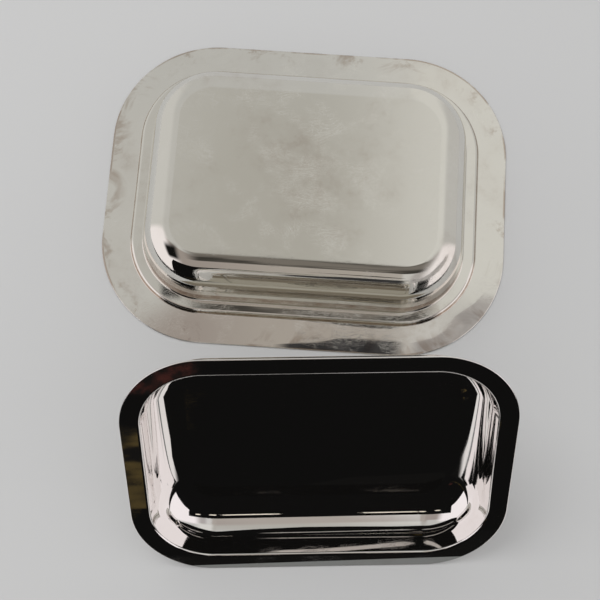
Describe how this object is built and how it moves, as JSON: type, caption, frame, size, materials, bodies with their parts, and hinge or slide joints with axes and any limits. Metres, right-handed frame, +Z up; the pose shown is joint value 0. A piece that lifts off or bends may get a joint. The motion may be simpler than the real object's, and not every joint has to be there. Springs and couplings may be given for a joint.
{
  "type": "butter dish",
  "caption": "Two-piece metal butter dish: a broad-rimmed oblong base lying upside down and a plain cover standing tipped back before it.",
  "frame": {"origin": "on the table, at the middle of the pair's bounding box", "axes": "+Z up from the table; +Y from the standing cover back to the base; +X along the base's length"},
  "size_m": [0.19, 0.2508, 0.0939],
  "materials": {
    "base_plate": "worn silver plate, slightly tarnished, fine scratches",
    "cover_plate": "bright silver plate, mirror polished, engraved scrolls on its top"
  },
  "bodies": {
    "base": {"base": "base_plate"},
    "cover": {"cover": "cover_plate"}
  },
  "joints": [
    {"name": "cover_lift", "type": "slide", "parent": "base", "child": "cover", "axis": [0, 0, 1], "range_m": [0, 0.12]}
  ]
}
